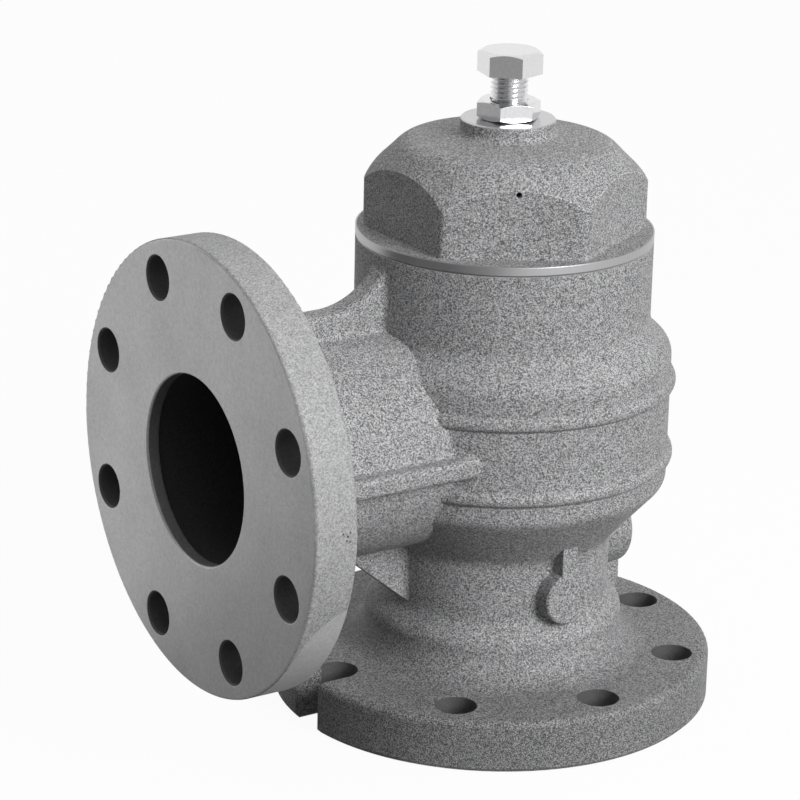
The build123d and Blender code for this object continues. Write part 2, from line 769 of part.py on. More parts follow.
# Piston
lower_groove = piston_head_bottom + first_ring_land
guide_groove = lower_groove + o_ring_groove_width + ring_land
upper_groove = guide_groove + guide_ring_width + ring_land
with BuildPart() as piston:
    with BuildSketch(axial_plane):
        Polygon(
            (recess_radius, disc_top),
            (piston_cup_radius - piston_foot_chamfer, disc_top),
            (piston_cup_radius, disc_top + piston_foot_chamfer),
            (piston_cup_radius, piston_head_bottom - piston_head_slope),
            (piston_head_radius, piston_head_bottom),
            (piston_head_radius, piston_head_top),
            (cup_inner_radius, piston_head_top),
            (cup_inner_radius, piston_floor),
            (piston_hub_radius, piston_floor),
            (piston_hub_radius, bush_top),
            (bush_outer_radius, bush_top),
            (bush_outer_radius, recess_roof),
            (recess_radius, recess_roof),
            align=None,
        )
    revolve(axis=Axis.Z)
    for groove, width, depth in (
        (lower_groove, o_ring_groove_width, o_ring_groove_depth),
        (guide_groove, guide_ring_width, guide_ring_depth),
        (upper_groove, o_ring_groove_width, o_ring_groove_depth),
    ):
        with BuildSketch(Plane.XY.offset(groove)):
            Circle(piston_head_radius + cut_overrun)
            Circle(piston_head_radius - depth, mode=Mode.SUBTRACT)
        extrude(amount=width, mode=Mode.SUBTRACT)
piston.part.label = "piston"
export_step(piston.part, "parts/piston.step")

# Sealing rings of the piston, squeezed between their grooves and the bore
with BuildPart() as piston_o_rings:
    for groove in (lower_groove, upper_groove):
        with BuildSketch(Plane.XY.offset(groove)):
            Circle(sealing_radius)
            Circle(piston_head_radius - o_ring_groove_depth, mode=Mode.SUBTRACT)
        extrude(amount=o_ring_groove_width)
    fillet(piston_o_rings.edges().filter_by(GeomType.CIRCLE), o_ring_round)
piston_o_rings.part.label = "piston_o_rings"
export_step(piston_o_rings.part, "parts/piston_o_rings.step")

# Split guide ring between them
with BuildPart() as piston_guide_ring:
    with BuildSketch(Plane.XY.offset(guide_groove)):
        Circle(sealing_radius)
        Circle(piston_head_radius - guide_ring_depth, mode=Mode.SUBTRACT)
        with Locations((sealing_radius, 0)):
            Rectangle(sealing_radius, guide_ring_gap, mode=Mode.SUBTRACT)
    extrude(amount=guide_ring_width)
piston_guide_ring.part.label = "piston_guide_ring"
export_step(piston_guide_ring.part, "parts/piston_guide_ring.step")

# Bush pressed into the piston hub, in which the stem slides
guide_bush = turned_ring(bush_radius, bush_outer_radius, recess_roof, bush_top)
guide_bush.part.label = "guide_bush"
export_step(guide_bush.part, "parts/guide_bush.step")

# Light spring between the disc and the piston
check_spring = coil_spring(
    check_spring_mean_radius, check_spring_wire, disc_top, recess_roof, check_spring_active_turns
)
check_spring.part.label = "check_spring"
export_step(check_spring.part, "parts/check_spring.step")

# Hardened washer on the piston floor, under the main spring
spring_washer = turned_ring(
    spring_inner_radius - spring_play / 2, spring_outer_radius + spring_play / 2, piston_floor, spring_bottom
)
spring_washer.part.label = "spring_washer"
export_step(spring_washer.part, "parts/spring_washer.step")

# Main spring, which sets the opening pressure
main_spring = coil_spring(
    main_spring_mean_radius, main_spring_wire, spring_bottom, upper_seat_bottom, main_spring_active_turns
)
main_spring.part.label = "main_spring"
export_step(main_spring.part, "parts/main_spring.step")

# Upper spring seat, centred in the spring, with a cone for the thrust ball
ball_centre = upper_seat_top + thrust_ball_rise
ball_cone_depth = thrust_ball_radius * sqrt(2) - thrust_ball_rise
upper_seat_radius = spring_outer_radius - upper_seat_rim + spring_play
pilot_radius = spring_inner_radius - upper_seat_pilot_play
with BuildPart() as upper_spring_seat:
    with BuildSketch(axial_plane):
        Polygon(
            (0, upper_seat_bottom - upper_seat_pilot_length),
            (pilot_radius - 2 * upper_seat_chamfer, upper_seat_bottom - upper_seat_pilot_length),
            (pilot_radius, upper_seat_bottom - upper_seat_pilot_length + 2 * upper_seat_chamfer),
            (pilot_radius, upper_seat_bottom),
            (upper_seat_radius, upper_seat_bottom),
            (upper_seat_radius, upper_seat_top - upper_seat_chamfer),
            (upper_seat_radius - upper_seat_chamfer, upper_seat_top),
            (ball_cone_depth, upper_seat_top),
            (0, upper_seat_top - ball_cone_depth),
            align=None,
        )
    revolve(axis=Axis.Z)
upper_spring_seat.part.label = "upper_spring_seat"
export_step(upper_spring_seat.part, "parts/upper_spring_seat.step")

# Thrust ball between the seat and the tip of the adjusting screw
with BuildPart() as thrust_ball:
    with Locations((0, 0, ball_centre)):
        Sphere(thrust_ball_radius)
thrust_ball.part.label = "thrust_ball"
export_step(thrust_ball.part, "parts/thrust_ball.step")

# Adjusting screw, hollowed at its tip to sit on the ball
screw_tip = ball_centre + thrust_ball_radius - screw_cup_depth
with BuildPart() as adjusting_screw:
    add(hexagon_blank(screw_head_flats, screw_head_bottom, screw_head_height, screw_head_angle, False))
    with BuildSketch(axial_plane):
        Polygon(
            (0, screw_tip),
            (screw_radius - screw_tip_chamfer, screw_tip),
            (screw_radius, screw_tip + screw_tip_chamfer),
            (screw_radius, screw_head_bottom),
            (0, screw_head_bottom),
            align=None,
        )
    revolve(axis=Axis.Z)
    with Locations((0, 0, ball_centre)):
        Sphere(thrust_ball_radius + running_clearance, mode=Mode.SUBTRACT)
adjusting_screw.part.label = "adjusting_screw"
export_step(adjusting_screw.part, "parts/adjusting_screw.step")

# Lock nut, tight on the cap
with BuildPart() as lock_nut:
    add(hexagon_blank(screw_head_flats, cap_top, lock_nut_thickness, lock_nut_angle, True))
    with BuildSketch(Plane.XY.offset(cap_top)):
        Circle(screw_radius + thread_clearance)
    extrude(amount=lock_nut_thickness, mode=Mode.SUBTRACT)
lock_nut.part.label = "lock_nut"
export_step(lock_nut.part, "parts/lock_nut.step")
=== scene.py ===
# %% [markdown]
# # A flanged minimum pressure valve
#
# The solids of the valve come from its CAD model, already in place. This script gives them their metal, rubber and
# plastic finishes, adds the threads that the CAD model leaves out, and sets up the light and the camera. Lengths are
# in metres, with Z up.

# %% Load the valve and measure it
import json
from math import cos, pi, radians, sin, sqrt, tan

import bmesh
import bpy
from mathutils import Matrix, Vector


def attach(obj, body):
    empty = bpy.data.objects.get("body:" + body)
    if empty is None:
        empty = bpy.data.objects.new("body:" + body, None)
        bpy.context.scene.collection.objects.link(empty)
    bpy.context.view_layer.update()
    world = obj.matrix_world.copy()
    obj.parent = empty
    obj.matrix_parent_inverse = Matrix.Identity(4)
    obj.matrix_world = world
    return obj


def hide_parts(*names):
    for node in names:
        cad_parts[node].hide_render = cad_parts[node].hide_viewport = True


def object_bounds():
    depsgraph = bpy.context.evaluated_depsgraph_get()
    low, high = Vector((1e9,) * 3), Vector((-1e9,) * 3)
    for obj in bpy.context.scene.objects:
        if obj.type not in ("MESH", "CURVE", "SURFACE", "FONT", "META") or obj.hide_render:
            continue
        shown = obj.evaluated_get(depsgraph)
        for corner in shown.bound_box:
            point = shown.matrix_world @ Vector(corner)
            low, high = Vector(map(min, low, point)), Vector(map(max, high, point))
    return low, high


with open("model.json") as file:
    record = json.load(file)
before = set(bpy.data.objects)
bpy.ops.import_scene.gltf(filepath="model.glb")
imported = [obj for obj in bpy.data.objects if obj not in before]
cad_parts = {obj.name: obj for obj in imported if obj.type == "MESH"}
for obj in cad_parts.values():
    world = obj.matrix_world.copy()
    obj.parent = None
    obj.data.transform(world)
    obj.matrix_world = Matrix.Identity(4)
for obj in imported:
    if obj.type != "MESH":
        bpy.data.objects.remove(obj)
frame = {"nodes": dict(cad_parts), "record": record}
cad_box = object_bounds()
nodes = frame["nodes"]
mm = 0.001
print("nodes:", len(nodes), "box:", [tuple(round(value, 4) for value in corner) for corner in cad_box])

# %% [markdown]
# ## The camera
#
# The photograph was taken with a long lens from in front and to the left, a little above the valve.
# Azimuth and elevation say from which side the camera looks, roll tilts it, and the two shifts say how
# far the middle of the picture lies from a point on the valve's axis. With three axes worked out from
# the angles, the camera's place and turn are one matrix, so no constraint or empty is needed.

# %% Camera
azimuth = radians(-33.123)
elevation = radians(18.811)
roll = radians(1.316)
target = Vector((0, 0, 0.150))
shift_right = -0.04264
shift_up = -0.01813
distance = 1.43264
focal_pixels = 3339.96
picture_pixels = 800
sensor_width = 36.0

back = Vector((sin(azimuth) * cos(elevation), -cos(azimuth) * cos(elevation), sin(elevation)))
right = (-back).cross(Vector((0, 0, 1))).normalized()
up = back.cross(right)
rolled_right = right * cos(roll) + up * sin(roll)
rolled_up = up * cos(roll) - right * sin(roll)
camera_place = target + right * shift_right + up * shift_up + back * distance

camera_data = bpy.data.cameras.new("photo_camera")
camera_data.sensor_width = sensor_width
camera_data.lens = focal_pixels / picture_pixels * sensor_width
camera_data.clip_end = 20
camera = bpy.data.objects.new("photo_camera", camera_data)
bpy.context.scene.collection.objects.link(camera)
turn = Matrix((rolled_right, rolled_up, back)).transposed().to_4x4()
camera.matrix_world = Matrix.Translation(camera_place) @ turn
bpy.context.scene.camera = camera
print("camera at", tuple(round(value, 4) for value in camera_place))

# %% [markdown]
# ## Tools for materials
#
# Every finish here is worked out by shader nodes from a point's place in the object, so it needs no
# picture and follows the part when it moves. A small helper keeps the node code readable: it adds a
# node, sets its plain values, and links what is given as a socket.

# %% Helpers for shader nodes
def add_node(tree, kind, settings=None, **inputs):
    """Adds a node to a tree; an input is given as a value, or as the socket that feeds it."""
    node = tree.nodes.new(kind)
    for name, value in (settings or {}).items():
        setattr(node, name, value)
    for name, value in inputs.items():
        socket = node.inputs[int(name[1:])] if name[0] == "i" and name[1:].isdigit() else node.inputs[name]
        if isinstance(value, bpy.types.NodeSocket):
            tree.links.new(value, socket)
        else:
            socket.default_value = value
    return node


def math_node(tree, operation, first, second=0.0, third=0.0, clamp=False):
    """One step of arithmetic on sockets or numbers."""
    node = add_node(tree, "ShaderNodeMath", {"operation": operation, "use_clamp": clamp}, i0=first, i1=second)
    if isinstance(third, bpy.types.NodeSocket):
        tree.links.new(third, node.inputs[2])
    else:
        node.inputs[2].default_value = third
    return node.outputs[0]


def mix_colours(tree, factor, first, second):
    """A colour between two others."""
    node = tree.nodes.new("ShaderNodeMix")
    node.data_type = "RGBA"
    for socket, value in ((node.inputs[0], factor), (node.inputs[6], first), (node.inputs[7], second)):
        if isinstance(value, bpy.types.NodeSocket):
            tree.links.new(value, socket)
        else:
            socket.default_value = value
    return node.outputs[2]


def mix_values(tree, factor, first, second):
    """A number between two others."""
    node = tree.nodes.new("ShaderNodeMix")
    for socket, value in ((node.inputs[0], factor), (node.inputs[2], first), (node.inputs[3], second)):
        if isinstance(value, bpy.types.NodeSocket):
            tree.links.new(value, socket)
        else:
            socket.default_value = value
    return node.outputs[0]


def step_up(tree, value, low, high):
    """0 below low, 1 above high, smooth between."""
    node = add_node(
        tree, "ShaderNodeMapRange", {"interpolation_type": "SMOOTHSTEP"}, i0=value, i1=low, i2=high, i3=0.0, i4=1.0
    )
    return node.outputs[0]


def grey(value):
    """A neutral colour as a shader socket wants it."""
    return (value, value, value * 1.015, 1)


def new_group(name, inputs, outputs):
    """An empty shader node group with named inputs and outputs."""
    tree = bpy.data.node_groups.new(name, "ShaderNodeTree")
    for label, kind in inputs:
        tree.interface.new_socket(label, in_out="INPUT", socket_type=kind)
    for label, kind in outputs:
        tree.interface.new_socket(label, in_out="OUTPUT", socket_type=kind)
    return tree, tree.nodes.new("NodeGroupInput").outputs, tree.nodes.new("NodeGroupOutput").inputs


def use_group(tree, group, **inputs):
    """Places a node group in a material; spaces in socket names are written as underscores."""
    node = tree.nodes.new("ShaderNodeGroup")
    node.node_tree = group
    for name, value in inputs.items():
        socket = node.inputs[name.replace("_", " ")]
        if isinstance(value, bpy.types.NodeSocket):
            tree.links.new(value, socket)
        else:
            socket.default_value = value
    return node.outputs


def new_material(name, metallic, roughness, bump_mm=0.0, edge_mm=0.0):
    """A material with a Principled shader, a Bump node and softly rounded edges; returns its parts."""
    material = bpy.data.materials.new(name)
    material.use_nodes = True
    tree = material.node_tree
    shader = tree.nodes["Principled BSDF"]
    shader.inputs["Metallic"].default_value = metallic
    shader.inputs["Roughness"].default_value = roughness
    bump = add_node(tree, "ShaderNodeBump", None, Strength=1.0, Distance=bump_mm * mm)
    if edge_mm:
        edge = add_node(tree, "ShaderNodeBevel", {"samples": 6}, Radius=edge_mm * mm)
        tree.links.new(edge.outputs[0], bump.inputs["Normal"])
    tree.links.new(bump.outputs[0], shader.inputs["Normal"])
    place = tree.nodes.new("ShaderNodeTexCoord").outputs["Object"]
    return material, tree, shader, bump, place


# %% [markdown]
# ## Blasted cast aluminium
#
# The body and the cap were cast in sand and then blasted, which leaves a fine grain of bright and dark
# specks a little under a millimetre across, on top of slow, cloudy changes of tone. The grain is one
# node group, because the two castings share it with different strengths. Voronoi cells with a random
# tone each give crisp specks that noise alone would blur into worms, and fine noise drives the bump.

# %% Blasted grain
grain_group, grain_in, grain_out = new_group(
    "blasted_grain",
    [("Place", "NodeSocketVector"), ("Speck", "NodeSocketFloat"), ("Contrast", "NodeSocketFloat")],
    [("Tone", "NodeSocketFloat"), ("Height", "NodeSocketFloat")],
)
speck_scale = math_node(grain_group, "DIVIDE", 1.0, grain_in["Speck"])
fine = add_node(
    grain_group, "ShaderNodeTexNoise", None, Vector=grain_in["Place"], Scale=speck_scale, Detail=0.0
).outputs["Fac"]
coarse_scale = math_node(grain_group, "MULTIPLY", speck_scale, 0.27)
coarse = add_node(
    grain_group, "ShaderNodeTexNoise", None, Vector=grain_in["Place"], Scale=coarse_scale, Detail=2.0
).outputs["Fac"]
cloud = add_node(
    grain_group, "ShaderNodeTexNoise", None, Vector=grain_in["Place"], Scale=38.0, Detail=3.0
).outputs["Fac"]
cells = add_node(grain_group, "ShaderNodeTexVoronoi", None, Vector=grain_in["Place"], Scale=speck_scale).outputs["Color"]
speck = add_node(grain_group, "ShaderNodeSeparateXYZ", None, i0=cells).outputs[0]
both = math_node(grain_group, "SUBTRACT", math_node(grain_group, "ADD", fine, speck), 1.0)
fine_part = math_node(grain_group, "MULTIPLY", both, grain_in["Contrast"])
coarse_part = math_node(grain_group, "MULTIPLY", math_node(grain_group, "SUBTRACT", coarse, 0.5), 0.35)
cloud_part = math_node(grain_group, "MULTIPLY", math_node(grain_group, "SUBTRACT", cloud, 0.5), 0.3)
tone = math_node(grain_group, "ADD", math_node(grain_group, "ADD", fine_part, coarse_part), cloud_part)
tone = math_node(grain_group, "MAXIMUM", math_node(grain_group, "ADD", tone, 1.0), 0.25)
grain_group.links.new(math_node(grain_group, "MINIMUM", tone, 2.2), grain_out["Tone"])
height = math_node(grain_group, "ADD", fine, math_node(grain_group, "MULTIPLY", coarse, 0.8))
grain_group.links.new(height, grain_out["Height"])

# %% [markdown]
# ## Turned faces
#
# A lathe leaves rings round the axis it turned about. Their pattern is noise that is read along one
# line only: the distance from the axis. The group takes that distance ready made, so the same rings
# serve the flange faces, the pistons, the seats and the bores.

# %% Turned rings
turned_group, turned_in, turned_out = new_group(
    "turned_rings",
    [("Distance", "NodeSocketFloat"), ("Spacing", "NodeSocketFloat"), ("Contrast", "NodeSocketFloat")],
    [("Tone", "NodeSocketFloat"), ("Height", "NodeSocketFloat")],
)
ring_number = math_node(turned_group, "DIVIDE", turned_in["Distance"], turned_in["Spacing"])
rings = add_node(
    turned_group, "ShaderNodeTexNoise", {"noise_dimensions": "1D"}, W=ring_number, Scale=1.0, Detail=2.0
).outputs["Fac"]
ring_tone = math_node(turned_group, "MULTIPLY", math_node(turned_group, "SUBTRACT", rings, 0.5), turned_in["Contrast"])
turned_group.links.new(math_node(turned_group, "ADD", ring_tone, 1.0), turned_out["Tone"])
turned_group.links.new(rings, turned_out["Height"])


def distance_from(tree, place, centre, axis):
    """How far a point is from a line along one of the three axes, in metres."""
    moved = add_node(tree, "ShaderNodeVectorMath", {"operation": "SUBTRACT"}, i0=place, i1=centre).outputs[0]
    keep = tuple(0.0 if direction == axis else 1.0 for direction in "XYZ")
    flat = add_node(tree, "ShaderNodeVectorMath", {"operation": "MULTIPLY"}, i0=moved, i1=keep).outputs[0]
    return add_node(tree, "ShaderNodeVectorMath", {"operation": "LENGTH"}, i0=flat).outputs["Value"]


def shaded(tree, tone, brightness):
    """A grey of the given brightness, times a tone."""
    return add_node(
        tree, "ShaderNodeVectorMath", {"operation": "SCALE"}, i0=grey(brightness)[:3], Scale=tone
    ).outputs[0]


def below(tree, value, limit_mm):
    """1 where a length is under a limit in millimetres."""
    return math_node(tree, "LESS_THAN", value, limit_mm * mm)


def above(tree, value, limit_mm):
    """1 where a length is over a limit in millimetres."""
    return math_node(tree, "GREATER_THAN", value, limit_mm * mm)


def all_of(tree, *masks):
    """1 where every mask is 1."""
    result = masks[0]
    for mask in masks[1:]:
        result = math_node(tree, "MULTIPLY", result, mask)
    return result


def any_of(tree, *masks):
    """1 where one of the masks is 1."""
    result = masks[0]
    for mask in masks[1:]:
        result = math_node(tree, "MAXIMUM", result, mask)
    return result


# %% [markdown]
# ## The body
#
# One casting carries several finishes: blasted skin outside, a finer and paler skin on the rim of the outlet flange,
# bright turned metal on the flange faces and lips, and a ground area on the rim. Painted shade is laid over them: the
# drilled holes, the passages and the pores are painted dark, the outlet lip a little darker than the face, and the
# skin darker towards the bottom and on the inlet flange. Masks made from the place of a point choose between them,
# since all of these lie on planes and cylinders that are known. One colour ramp would not do, because the finishes
# differ in roughness and bump as well.

# %% Places on the body
outlet_face_mm = -150.4
flange_back_mm = -131.0
outlet_height = 0.1265
bolt_circle = 0.080
bolt_hole = 0.009
passage_mm = 43.3
lip_mm = 40.2
lip_depth_mm = 5.7


def near_bolt_hole(tree, place, centre, axis, first_angle, margin_mm):
    """1 inside any hole of a bolt circle and on its wall, 0 away from it."""
    moved = add_node(tree, "ShaderNodeVectorMath", {"operation": "SUBTRACT"}, i0=place, i1=centre).outputs[0]
    parts = add_node(tree, "ShaderNodeSeparateXYZ", None, i0=moved).outputs
    across, along = (parts[1], parts[2]) if axis == "X" else (parts[0], parts[1])
    nearest = 1.0
    for index in range(8):
        angle = radians(first_angle + 45 * index)
        offset_a = math_node(tree, "SUBTRACT", across, bolt_circle * cos(angle))
        offset_b = math_node(tree, "SUBTRACT", along, bolt_circle * sin(angle))
        squared = math_node(
            tree, "ADD", math_node(tree, "MULTIPLY", offset_a, offset_a), math_node(tree, "MULTIPLY", offset_b, offset_b)
        )
        nearest = math_node(tree, "MINIMUM", nearest, squared)
    reach = bolt_hole + margin_mm * mm
    return math_node(tree, "LESS_THAN", nearest, reach * reach)


# %% Cast body material
body_material, tree, shader, bump, place = new_material("cast_body", 0.0, 0.6, 0.15, 0.7)
x, y, z = add_node(tree, "ShaderNodeSeparateXYZ", None, i0=place).outputs
outlet_centre = (0.0, 0.0, outlet_height)
from_outlet_axis = distance_from(tree, place, outlet_centre, "X")
from_main_axis = distance_from(tree, place, (0.0, 0.0, 0.0), "Z")
in_outlet_flange = below(tree, x, flange_back_mm)
in_inlet_flange = below(tree, z, 22.9)

on_outlet_face = below(tree, x, outlet_face_mm + 0.35)
on_inlet_face = below(tree, z, 0.3)
outlet_lip = all_of(tree, below(tree, from_outlet_axis, lip_mm), below(tree, x, outlet_face_mm + lip_depth_mm))
inlet_lip = all_of(tree, below(tree, from_main_axis, lip_mm), below(tree, z, lip_depth_mm))
collar_top = all_of(tree, above(tree, z, 205.7), below(tree, from_main_axis, 64.0))
machined = any_of(tree, on_outlet_face, on_inlet_face, outlet_lip, inlet_lip, collar_top)

# Painted shade: the walls of the bolt holes are painted dark (0.1 below) for the shade inside the holes.
outlet_holes = all_of(
    tree, near_bolt_hole(tree, place, outlet_centre, "X", 22.5, 0.75), above(tree, x, outlet_face_mm + 0.05), in_outlet_flange
)
inlet_holes = all_of(tree, near_bolt_hole(tree, place, (0.0, 0.0, 0.0), "Z", 0.0, 0.3), in_inlet_flange)
drilled = any_of(tree, outlet_holes, inlet_holes)

# Painted shade: the passages, the chamber and the collar bore are painted near black (0.04 below) for the shade deep
# inside the casting.
outlet_passage = all_of(
    tree, below(tree, from_outlet_axis, passage_mm), below(tree, x, -50.0), above(tree, x, outlet_face_mm + lip_depth_mm - 0.3)
)
inlet_passage = all_of(
    tree, below(tree, from_main_axis, passage_mm), below(tree, z, 104.0), above(tree, z, lip_depth_mm - 0.3)
)
chamber = all_of(tree, below(tree, from_main_axis, 66.5), above(tree, z, 103.9), below(tree, z, 154.6))
collar_bore = all_of(tree, below(tree, from_main_axis, 60.0), above(tree, z, 154.5))
inside = any_of(tree, outlet_passage, inlet_passage, chamber, collar_bore)

# %% Rim, ground area and pores of the outlet flange
rim = all_of(tree, above(tree, from_outlet_axis, 93.0), in_outlet_flange)
from_centre = add_node(tree, "ShaderNodeVectorMath", {"operation": "SUBTRACT"}, i0=place, i1=outlet_centre).outputs[0]
across, upward = add_node(tree, "ShaderNodeSeparateXYZ", None, i0=from_centre).outputs[1:3]
rim_angle = math_node(tree, "ARCTAN2", upward, across)
off_middle = math_node(tree, "ABSOLUTE", math_node(tree, "SUBTRACT", rim_angle, radians(-118)))
within = math_node(tree, "DIVIDE", math_node(tree, "SUBTRACT", radians(42), off_middle), radians(5))
reach = math_node(tree, "SUBTRACT", 1.0, math_node(tree, "EXPONENT", math_node(tree, "MULTIPLY", within, -1.0)))
ragged = add_node(tree, "ShaderNodeTexNoise", None, Vector=place, Scale=160.0, Detail=3.0).outputs["Fac"]
ragged_edge = math_node(tree, "MULTIPLY_ADD", ragged, 2.4 * mm, (flange_back_mm - 1.2) * mm)
ground_edge = math_node(tree, "MULTIPLY_ADD", reach, -18.4 * mm, ragged_edge)
ground_area = all_of(tree, rim, math_node(tree, "GREATER_THAN", x, ground_edge))


def pore(centre_mm, radius_mm):
    """1 within a small round pore of the casting."""
    centre = tuple(value * mm for value in centre_mm)
    gap = add_node(tree, "ShaderNodeVectorMath", {"operation": "DISTANCE"}, i0=place, i1=centre).outputs["Value"]
    return below(tree, gap, radius_mm)


# Painted shade: these small pits have no depth of their own, so their dark colour below paints the shade inside them.
pores = any_of(
    tree,
    pore((-137.9, -95.5, 128.2), 0.45), pore((-135.9, -95.5, 126.9), 0.5), pore((-134.6, -95.5, 128.4), 0.4),
    pore((-136.3, -95.5, 125.2), 0.4), pore((-134.9, -95.5, 124.6), 0.35), pore((-138.4, -95.5, 129.6), 0.3),
)

# %% Finishes and painted shade of the body, laid over each other
skin_grain = use_group(tree, grain_group, Place=place, Speck=0.4 * mm, Contrast=2.0)
rim_grain = use_group(tree, grain_group, Place=place, Speck=0.5 * mm, Contrast=0.65)
face_rings = use_group(tree, turned_group, Distance=from_outlet_axis, Spacing=0.25 * mm, Contrast=0.18)
face_grain = use_group(tree, grain_group, Place=place, Speck=0.5 * mm, Contrast=0.16)
face_tone = math_node(tree, "MULTIPLY", face_rings["Tone"], face_grain["Tone"])
colour = shaded(tree, skin_grain["Tone"], 0.31)
# Painted shade: the skin darkens from 40 mm down to 24 mm, and more on the inlet flange, where less light falls
# towards the bottom.
above_flange = step_up(tree, z, 24 * mm, 40 * mm)
for mask, finish_and_painted_shade in (
    (math_node(tree, "SUBTRACT", 1.0, above_flange), shaded(tree, skin_grain["Tone"], 0.22)),
    (in_inlet_flange, shaded(tree, skin_grain["Tone"], 0.2)),
    (rim, shaded(tree, rim_grain["Tone"], 0.39)),
    (ground_area, shaded(tree, face_grain["Tone"], 0.5)),
    (machined, shaded(tree, face_tone, 0.55)),
    (inside, shaded(tree, rim_grain["Tone"], 0.04)),
    # Painted shade: the outlet lip inside the bore is a little darker than the face.
    (outlet_lip, shaded(tree, face_tone, 0.45)),
    (outlet_holes, shaded(tree, face_tone, 0.1)),
    (inlet_holes, shaded(tree, face_tone, 0.1)),
    (pores, shaded(tree, face_tone, 0.05)),
):
    colour = mix_colours(tree, mask, colour, finish_and_painted_shade)
tree.links.new(colour, shader.inputs["Base Color"])
bright = all_of(tree, machined, math_node(tree, "SUBTRACT", 1.0, drilled))
tree.links.new(mix_values(tree, any_of(tree, machined, ground_area), 0.62, 0.4), shader.inputs["Roughness"])
tree.links.new(math_node(tree, "MULTIPLY", bright, 0.65), shader.inputs["Metallic"])
face_height = math_node(tree, "MULTIPLY", face_rings["Height"], 0.12)
height = mix_values(tree, rim, skin_grain["Height"], math_node(tree, "MULTIPLY", rim_grain["Height"], 0.45))
height = mix_values(tree, any_of(tree, machined, ground_area), height, face_height)
tree.links.new(height, bump.inputs["Height"])

# %% [markdown]
# ## The cap
#
# The cap has the same blasted skin, with a painted highlight that makes it a little paler along its edges: there the
# Bevel node's rounded normal turns away from the true one. Only the side of its ring and the face of its boss are
# turned.

# %% Cast cap material
cap_material, tree, shader, bump, place = new_material("cast_cap", 0.0, 0.6, 0.15, 0.7)
height = add_node(tree, "ShaderNodeSeparateXYZ", None, i0=place).outputs[2]
from_axis = distance_from(tree, place, (0.0, 0.0, 0.0), "Z")
boss_face = above(tree, height, 256.5)
ring_side = all_of(tree, above(tree, from_axis, 62.7), below(tree, height, 210.1))
inner = any_of(
    tree,
    below(tree, height, 205.9),
    all_of(tree, below(tree, from_axis, 49.0), below(tree, height, 240.0)),
    below(tree, from_axis, 8.3),
)
machined = any_of(tree, boss_face, ring_side, inner)
skin_grain = use_group(tree, grain_group, Place=place, Speck=0.4 * mm, Contrast=2.0)
cap_rings = use_group(tree, turned_group, Distance=from_axis, Spacing=0.3 * mm, Contrast=0.3)
skin = shaded(tree, skin_grain["Tone"], 0.31)
rounded = add_node(tree, "ShaderNodeBevel", {"samples": 6}, Radius=0.8 * mm).outputs[0]
flat = tree.nodes.new("ShaderNodeNewGeometry").outputs["True Normal"]
likeness = add_node(tree, "ShaderNodeVectorMath", {"operation": "DOT_PRODUCT"}, i0=rounded, i1=flat).outputs["Value"]
sharpness = math_node(tree, "SUBTRACT", 1.0, step_up(tree, likeness, 0.965, 0.995))
# Painted highlight: the skin is paler along the cap's edges, where the rounded normal turns away from the true one.
painted_edge_highlight = all_of(tree, sharpness, above(tree, height, 214.0), below(tree, height, 247.0))
skin = mix_colours(tree, painted_edge_highlight, skin, shaded(tree, skin_grain["Tone"], 0.48))
turned = mix_colours(tree, boss_face, shaded(tree, cap_rings["Tone"], 0.42), shaded(tree, cap_rings["Tone"], 0.54))
tree.links.new(mix_colours(tree, machined, skin, turned), shader.inputs["Base Color"])
turned_roughness = mix_values(tree, boss_face, 0.36, 0.25)
tree.links.new(mix_values(tree, machined, 0.62, turned_roughness), shader.inputs["Roughness"])
tree.links.new(math_node(tree, "MULTIPLY", machined, 0.95), shader.inputs["Metallic"])
turned_height = math_node(tree, "MULTIPLY", cap_rings["Height"], 0.15)
tree.links.new(mix_values(tree, machined, skin_grain["Height"], turned_height), bump.inputs["Height"])


# %% [markdown]
# ## Smaller finishes
#
# The pieces inside are turned steel, turned aluminium, bronze, rubber, white plastic and dark spring
# wire, and the screws are bright zinc. Turned ones differ only in colour, roughness and the strength of
# the rings, so one function makes them all.

# %% Turned, plated and moulded materials
def turned_material(name, colour, metallic, roughness, spacing_mm, contrast, bump_mm):
    """Metal turned on a lathe about the main axis."""
    material, tree, shader, bump, place = new_material(name, metallic, roughness, bump_mm, 0.25)
    radial = distance_from(tree, place, (0.0, 0.0, 0.0), "Z")
    along = add_node(tree, "ShaderNodeSeparateXYZ", None, i0=place).outputs[2]
    both = math_node(tree, "ADD", radial, along)
    rings = use_group(tree, turned_group, Distance=both, Spacing=spacing_mm * mm, Contrast=contrast)
    shade = add_node(
        tree, "ShaderNodeVectorMath", {"operation": "SCALE"}, i0=colour, Scale=rings["Tone"]
    ).outputs[0]
    tree.links.new(shade, shader.inputs["Base Color"])
    tree.links.new(rings["Height"], bump.inputs["Height"])
    stain = add_node(tree, "ShaderNodeTexNoise", None, Vector=place, Scale=90.0, Detail=3.0).outputs["Fac"]
    tree.links.new(mix_values(tree, stain, roughness * 0.75, roughness * 1.25), shader.inputs["Roughness"])
    return material


def mottled_material(name, colour, other, metallic, roughness, scale, bump_mm):
    """A plain finish with a soft mottle, for plating, rubber, plastic and wire."""
    material, tree, shader, bump, place = new_material(name, metallic, roughness, bump_mm, 0.2)
    mottle = add_node(
        tree, "ShaderNodeTexNoise", None, Vector=place, Scale=scale, Detail=4.0, Roughness=0.6
    ).outputs["Fac"]
    tree.links.new(mix_colours(tree, mottle, (*colour, 1), (*other, 1)), shader.inputs["Base Color"])
    tree.links.new(mix_values(tree, mottle, roughness * 0.7, roughness * 1.3), shader.inputs["Roughness"])
    tree.links.new(mottle, bump.inputs["Height"])
    return material


